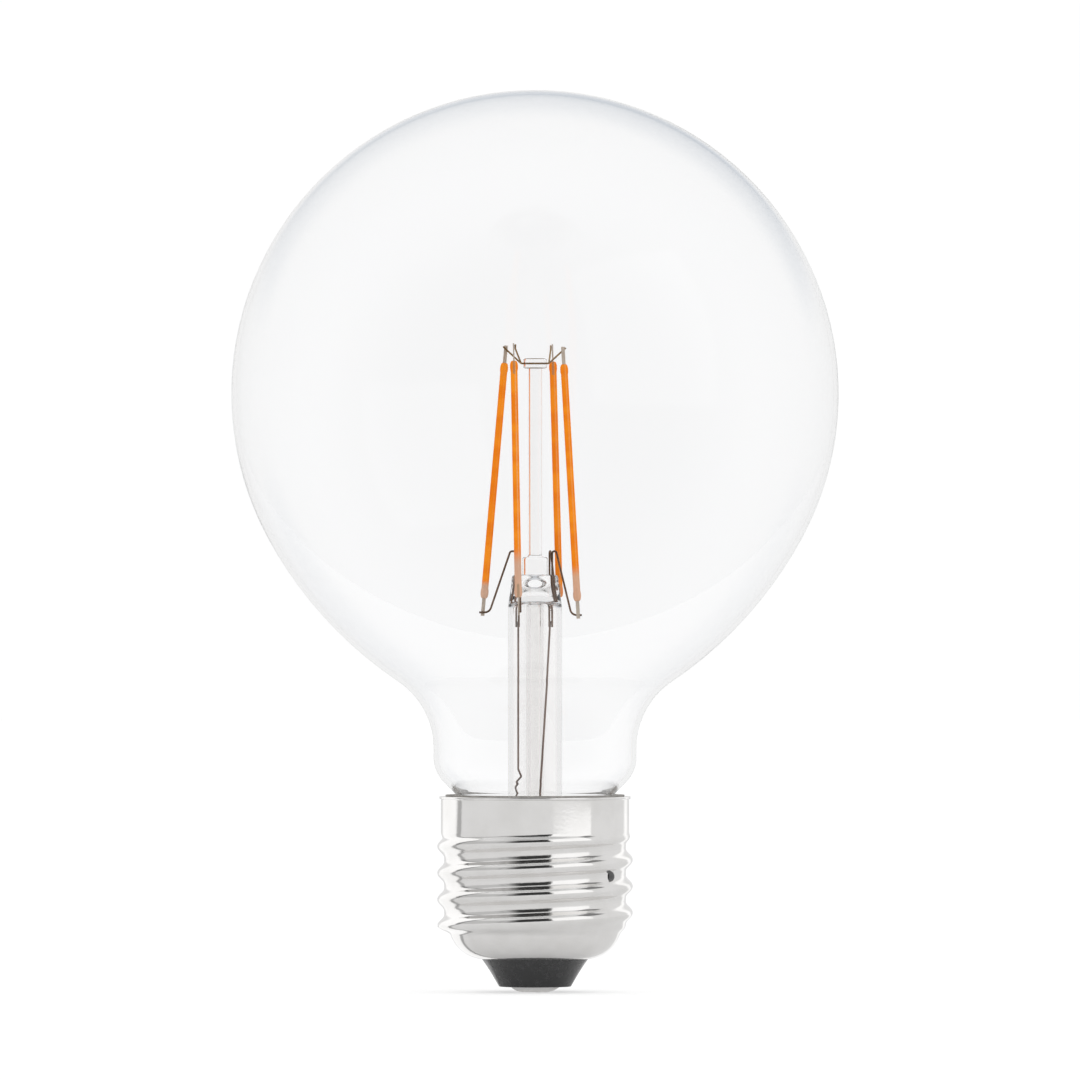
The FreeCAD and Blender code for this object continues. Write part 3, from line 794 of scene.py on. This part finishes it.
def new_material(name):
    """An empty material, and a shade to make its nodes from."""
    material = bpy.data.materials.new(name)
    material.use_nodes = True
    material.node_tree.nodes.clear()
    return material, Shade(material.node_tree)


def show(shade, surface):
    """Put a surface on a material's output."""
    shade.node("ShaderNodeOutputMaterial", None, {"Surface": surface})


def object_place(shade):
    """The place of a point in its piece's own frame, in metres."""
    return shade.node("ShaderNodeTexCoord", output="Object")


def axes_of(shade, vector):
    """The three parts of a vector."""
    parts = shade.node("ShaderNodeSeparateXYZ", None, {0: vector}).socket.node
    return (Shade(shade.tree, parts.outputs[index]) for index in range(3))


def clouds(shade, place, waves, detail=3.0, stretch_by=no_stretch):
    """Soft noise at a place, in waves for each unit of the place."""
    if stretch_by != no_stretch:
        place = shade.node("ShaderNodeMapping", None, {"Vector": place, "Scale": stretch_by})
    return shade.node("ShaderNodeTexNoise", None, {"Vector": place, "Scale": waves, "Detail": detail})


def bump(shade, height, relief):
    """A normal from a height that is a share of the relief in millimetres."""
    return shade.node("ShaderNodeBump", None, {"Height": height, "Distance": relief * mm, "Strength": 1.0})


def glass(name, tint, index, waves, wave_height, stretch_by):
    """Clear glass with the faint unevenness of blown or drawn work."""
    material, shade = new_material(name)
    unevenness = clouds(shade, object_place(shade), waves, detail=1.0, stretch_by=stretch_by)
    show(shade, shade.node("ShaderNodeBsdfPrincipled", None, {
        "Base Color": tint,
        "Roughness": 0.0,
        "IOR": index,
        "Transmission Weight": 1.0,
        "Normal": bump(shade, unevenness, wave_height),
    }))
    return material


def nickel():
    """Bright plating on rolled sheet, with faint stains, fine draw marks and an uneven gloss."""
    material, shade = new_material("cap_nickel")
    place = object_place(shade)
    stains = clouds(shade, place, nickel_stain_waves, detail=4.0)
    marks = clouds(shade, place, nickel_mark_waves, stretch_by=nickel_mark_stretch)
    pits = clouds(shade, place, nickel_pit_waves, detail=2.0)
    relief = nickel_mark_share * marks + (1 - nickel_mark_share) * pits
    show(shade, shade.node("ShaderNodeBsdfPrincipled", None, {
        "Base Color": stains.step(*nickel_stain_range).mix(nickel_clean, nickel_stained),
        "Metallic": 1.0,
        "Roughness": stains.between(*nickel_roughness),
        "Normal": bump(shade, relief, nickel_relief),
    }))
    return material


def black_glass():
    """Glossy black pressed glass with small pits and a slightly dusty face."""
    material, shade = new_material("insulator_black")
    place = object_place(shade)
    dust = clouds(shade, place, black_dust_waves, detail=5.0)
    pits = clouds(shade, place, black_pit_waves, detail=1.0).step(*black_pit_range)
    ripple = clouds(shade, place, black_ripple_waves, detail=2.0)
    show(shade, shade.node("ShaderNodeBsdfPrincipled", None, {
        "Base Color": dust.step(*black_dust_range).mix(black_clean, black_dusty),
        "IOR": black_index,
        "Roughness": dust.between(*black_roughness),
        "Normal": bump(shade, ripple - black_pit_depth * pits, black_relief),
    }))
    return material


def solder():
    """Dull tinned solder, wrinkled where it set."""
    material, shade = new_material("contact_solder")
    place = object_place(shade)
    wrinkles = clouds(shade, place, solder_wrinkle_waves, detail=4.0)
    show(shade, shade.node("ShaderNodeBsdfPrincipled", None, {
        "Base Color": wrinkles.mix(solder_dark, solder_light),
        "Metallic": 1.0,
        "Roughness": wrinkles.between(*solder_roughness),
        "Normal": bump(shade, wrinkles, solder_relief),
    }))
    return material


def strip_coat(number):
    """Orange coat with a greyer seam, a paler lower end and a painted shadow of the tabs over its ends."""
    material, shade = new_material(f"strip_coat_{number + 1}")
    place = shade.node("ShaderNodeAttribute", {"attribute_name": "strip_place"}, output="Vector")
    across, _, along = axes_of(shade, place)
    band_place = shade.node("ShaderNodeMapping", None, {
        "Vector": place,
        "Location": (0, 0, coat_band_shift * number),
        "Scale": (0.0, 0.0, coat_band_waves),
    })
    bands = clouds(shade, band_place, 1.0, detail=2.0).step(*coat_band_range)
    grain = clouds(shade, place, coat_grain_waves, detail=4.0)
    orange = bands.mix(coat_light, coat_deep)
    seam = across.step(*seam_left_edge) * (1 - across.step(*seam_right_edge))
    seamed = (seam * seam_depths[number] * grain.step(*seam_grain_range)).mix(orange, seam_colour)
    pale_end = pale_lengths[number]
    pale = (1 - along.step(pale_core * pale_end, pale_end)) * pale_depths[number]
    faded = pale.mix(seamed, pale_colour)
    # Painted shadow where the coat lies over the tabs
    painted_tab_shade = tab_shadow_depths[number] * painted_tab_shadow_mask(shade, across, along)
    show(shade, shade.node("ShaderNodeBsdfPrincipled", None, {
        "Base Color": painted_tab_shade.mix(faded, tab_shadow_colour),
        "Specular IOR Level": 0.0,
        "Roughness": grain.between(*coat_roughness),
        "Normal": bump(shade, grain, coat_relief),
    }))
    return material


def painted_tab_shadow_mask(shade, across, along):
    """Where a strip's coat lies over the ends of its tabs: the mask of their painted shadow."""
    inner, outer = tab_shadow_side
    nearest = shade.node("ShaderNodeMath", {"operation": "MINIMUM"}, {0: along, 1: strip_length - along})
    middle = across.step(-outer, -inner) * (1 - across.step(inner, outer))
    return middle * (1 - nearest.step(*tab_shadow_end))


def wire_metal(name, colours, metallic=1.0):
    """Drawn wire or strip, with a colour that shifts along it and fine marks."""
    material, shade = new_material(name)
    place = object_place(shade)
    tint = clouds(shade, place, wire_tint_waves)
    marks = clouds(shade, place, wire_mark_waves, detail=2.0)
    show(shade, shade.node("ShaderNodeBsdfPrincipled", None, {
        "Base Color": tint.step(*tint_range).mix(*colours),
        "Metallic": metallic,
        "Roughness": marks.between(*wire_roughness),
        "Normal": bump(shade, marks, wire_relief),
    }))
    return material


def dull(name, dark, light, waves, relief, roughness):
    """A dull finish with a fine grain and a little unevenness of colour."""
    material, shade = new_material(name)
    grain = clouds(shade, object_place(shade), waves, detail=5.0)
    show(shade, shade.node("ShaderNodeBsdfPrincipled", None, {
        "Base Color": grain.step(*tint_range).mix(dark, light),
        "Roughness": grain.between(*roughness),
        "Normal": bump(shade, grain, relief),
    }))
    return material


# Studio

def make_camera():
    """A long lens level with the lamp, on the photo's scale."""
    data = bpy.data.cameras.new("camera")
    camera = bpy.data.objects.new("camera", data)
    bpy.context.collection.objects.link(camera)
    half = picture_size / 2
    camera.location = (
        (half - picture_axis) / picture_scale * mm,
        -camera_distance * mm,
        (picture_tip - half) / picture_scale * mm,
    )
    camera.rotation_euler = (math.radians(90), 0, 0)
    data.sensor_width = camera_sensor
    data.lens = camera_sensor * camera_distance * picture_scale / picture_size
    data.clip_end = camera_reach * mm
    bpy.context.scene.camera = camera


def towards(azimuth, elevation, distance):
    """A place round the lamp; azimuth 0 is the camera's side and grows to the right."""
    level = distance * math.cos(math.radians(elevation))
    turn = math.radians(azimuth)
    height = distance * math.sin(math.radians(elevation))
    return Vector((level * math.sin(turn), -level * math.cos(turn), height))


def make_softbox():
    """One tall softbox, in front on the right."""
    data = bpy.data.lights.new("softbox", "AREA")
    data.shape = "RECTANGLE"
    data.size = softbox_width * mm
    data.size_y = softbox_height * mm
    data.energy = softbox_power
    softbox = bpy.data.objects.new("softbox", data)
    bpy.context.collection.objects.link(softbox)
    middle = Vector((0, 0, cap_height * mm))
    softbox.location = middle + towards(softbox_azimuth, softbox_elevation, softbox_distance) * mm
    softbox.rotation_euler = (softbox.location - middle).to_track_quat("Z", "Y").to_euler()


def ray_kinds(shade):
    """Masks of rays that go straight or through glass, that metal mirrors, and that glass mirrors."""
    path = shade.node("ShaderNodeLightPath").socket.node
    kinds = ("Is Camera Ray", "Is Glossy Ray", "Is Transmission Ray", "Is Singular Ray", "Glossy Depth")
    camera, glossy, through, sharp, mirrors = (Shade(shade.tree, path.outputs[kind]) for kind in kinds)
    mirrored = shade.node("ShaderNodeMath", {"operation": "MINIMUM"}, {0: mirrors, 1: 1.0})
    in_metal = glossy * (1 - through) * (1 - sharp)
    seen = shade.node("ShaderNodeMath", {"operation": "MAXIMUM"}, {0: camera, 1: glossy})
    return seen * (1 - mirrored), in_metal, seen * mirrored * (1 - in_metal)


def bearings(shade, right, back):
    """The azimuth of a direction in degrees, 0 towards the camera, and its size without the sign."""
    turn = shade.node("ShaderNodeMath", {"operation": "ARCTAN2"}, {0: right, 1: -1 * back})
    azimuth = turn * math.degrees(1)
    return azimuth, shade.node("ShaderNodeMath", {"operation": "ABSOLUTE"}, {0: azimuth})


def side_light(azimuth, aside):
    """The white at both sides of the lamp, less the dark edge of the left wall."""
    white = (1 - azimuth.step(*side_white_left)) + azimuth.step(*side_white_right)
    edge = azimuth.step(*wall_edge_left) * (1 - azimuth.step(*wall_edge_right))
    return side_white * white * (1 - aside.step(*side_white_back)) - wall_edge_dark * edge


def glass_level(back):
    """How bright the surroundings are where glass mirrors them: dimmer in front than behind."""
    return back.step(*glazed_turn).between(glazed_front, glazed_back)


def make_floor():
    """A pale floor that looks white, takes the lamp's shadow and is mirrored in glass as the room is."""
    bpy.ops.object.select_all(action="DESELECT")
    bpy.ops.mesh.primitive_plane_add(size=floor_reach * mm)
    floor = bpy.context.object
    floor.name = "floor"
    material, shade = new_material("floor_white")
    ends = {0: object_place(shade), 1: (0, 0, mirror_height * mm)}
    from_lamp = shade.node("ShaderNodeVectorMath", {"operation": "SUBTRACT"}, ends)
    direction = shade.node("ShaderNodeVectorMath", {"operation": "NORMALIZE"}, {0: from_lamp})
    right, back, _ = axes_of(shade, direction)
    azimuth, aside = bearings(shade, right, back)
    straight, in_metal, in_glass = ray_kinds(shade)
    sheen = floor_sheen + side_light(azimuth, aside)
    paint = shade.node("ShaderNodeBsdfDiffuse", None, {"Color": grey(floor_colour)})
    glow = shade.node("ShaderNodeEmission", None, {"Strength": floor_glow * straight + sheen * in_metal})
    white = shade.node("ShaderNodeAddShader", None, {0: paint, 1: glow})
    glaze = shade.node("ShaderNodeEmission", None, {"Strength": glass_level(back)})
    show(shade, shade.node("ShaderNodeMixShader", None, {0: in_glass, 1: white, 2: glaze}))
    floor.data.materials.append(material)


def span(value, ends, first_edge, last_edge):
    """1 where a value lies between two ends, fading over an edge inside each."""
    first, last = ends
    return value.step(first, first + first_edge) * (1 - value.step(last - last_edge, last))


def card(azimuth, elevation, sides, heights, edge, left_edge=None):
    """A flag or card in the room, seen between two azimuths and two elevations."""
    return span(azimuth, sides, left_edge or edge, edge) * span(elevation, heights, edge, edge)


def make_room():
    """White surroundings, with the dark and grey cards that bright metal mirrors."""
    world = bpy.data.worlds.new("room")
    bpy.context.scene.world = world
    world.use_nodes = True
    world.node_tree.nodes.clear()
    shade = Shade(world.node_tree)
    right, back, up = axes_of(shade, shade.node("ShaderNodeTexCoord", output="Generated"))
    azimuth, aside = bearings(shade, right, back)
    elevation = shade.node("ShaderNodeMath", {"operation": "ARCSINE"}, {0: up}) * math.degrees(1)
    flag = card(azimuth, elevation, flag_sides, flag_heights, flag_edge, flag_left_edge)
    left_wall = card(azimuth, elevation, left_wall_sides, left_wall_heights, left_wall_edge)
    right_card = card(azimuth, elevation, right_card_sides, right_card_heights, right_card_edge)
    sky = back.step(*sky_back) * up.step(*sky_up) * right.step(*sky_right).between(sky_left_share, 1.0)
    metal_room = mirrored_room + side_light(azimuth, aside)
    metal_room = metal_room - flag_dark * flag - left_wall_dark * left_wall - right_card_dark * right_card
    glass_room = glass_level(back) - sky_dark * sky
    straight, in_metal, in_glass = ray_kinds(shade)
    level = in_metal * metal_room + in_glass * glass_room + straight * backdrop_white
    level = level + (1 - straight - in_metal - in_glass) * room_light
    tint = (in_glass * sky).mix(grey(1.0), sky_tint)
    light = shade.node("ShaderNodeBackground", None, {"Color": tint, "Strength": level})
    shade.node("ShaderNodeOutputWorld", None, {"Surface": light})


# Putting it together

def finish_piece(piece, slot, material, *nodes):
    """Give a new piece its material, and put it in the place of the solids that it stands for."""
    piece.data.materials.clear()
    piece.data.materials.append(material)
    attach(piece, "root")
    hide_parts(*nodes)


def finish_nodes(material, *nodes):
    """Give solids that stay in view a better material."""
    for node in nodes:
        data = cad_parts[node].data
        data.materials.clear()
        data.materials.append(material)


def make_lamp():
    """The pieces that are shaped here, each in place of the solid that it stands for."""
    clear = glass("globe_clear", globe_tint, globe_index, globe_waves, globe_wave_height, no_stretch)
    drawn = glass("stem_clear", stem_tint, stem_index, stem_waves, stem_wave_height, stem_wave_stretch)
    finish_piece(make_globe(), "clear_glass", clear, "glass_globe")
    finish_piece(make_stem(), "stem_glass", drawn, "stem_flare")
    finish_piece(make_exhaust(), "stem_glass", drawn, "exhaust_tube")
    finish_piece(make_post(), "stem_glass", drawn, "stem_post")
    for number, piece in enumerate(make_strips()):
        finish_piece(piece, "phosphor", strip_coat(number), f"filament_{number + 1}_strip")
    finish_piece(make_cap(), "cap_metal", nickel(), "cap_shell")
    finish_piece(make_insulator(), "black_glass", black_glass(), "cap_insulator")
    finish_piece(make_contact(), "contact_metal", solder(), "centre_contact")


def finish_small_parts():
    """Materials of the wires, tabs and driver parts, whose solids stay in view."""
    numbers = range(1, len(strip_drops) + 1)
    tabs = [f"filament_{number}_{end}_tab" for number in numbers for end in ("top", "bottom")]
    leads = [f"inner_lead_{number}" for number in numbers]
    supply = ("outer_lead_left", "outer_lead_right", "side_wire", "contact_wire")
    finish_nodes(wire_metal("tab_metal", tab_colours, tab_metallic), *tabs)
    finish_nodes(wire_metal("top_wire_metal", top_wire_colours), "top_wire_back", "top_wire_front")
    finish_nodes(wire_metal("lead_metal", lead_colours), *leads)
    finish_nodes(wire_metal("supply_wire_metal", supply_wire_colours), *supply)
    # The pin is darkened partly by painted shade of its hole
    finish_nodes(wire_metal("pin_metal_and_painted_shade", pin_colours_and_painted_shade), "side_pin")
    finish_nodes(wire_metal("can_metal", can_colours), "smoothing_capacitor")
    # The cement is darkened partly as painted shadow at the cap's lip
    finish_nodes(dull("cement", *cement_finish_and_painted_shade), "basing_cement")
    finish_nodes(dull("board", *board_finish), "driver_board")
    finish_nodes(dull("moulding", *moulding_finish), "bridge_rectifier", "driver_chip")
    finish_nodes(dull("resistor_coat", *resistor_finish), "fuse_resistor")


def set_rendering():
    """Plain colours, and enough bounces for the glass inside the glass."""
    scene = bpy.context.scene
    scene.view_settings.view_transform = "Standard"
    scene.cycles.max_bounces = light_bounces
    scene.cycles.transmission_bounces = light_bounces
    scene.cycles.glossy_bounces = mirror_bounces
    scene.cycles.blur_glossy = 0


make_lamp()
finish_small_parts()
make_camera()
make_softbox()
make_floor()
make_room()
set_rendering()
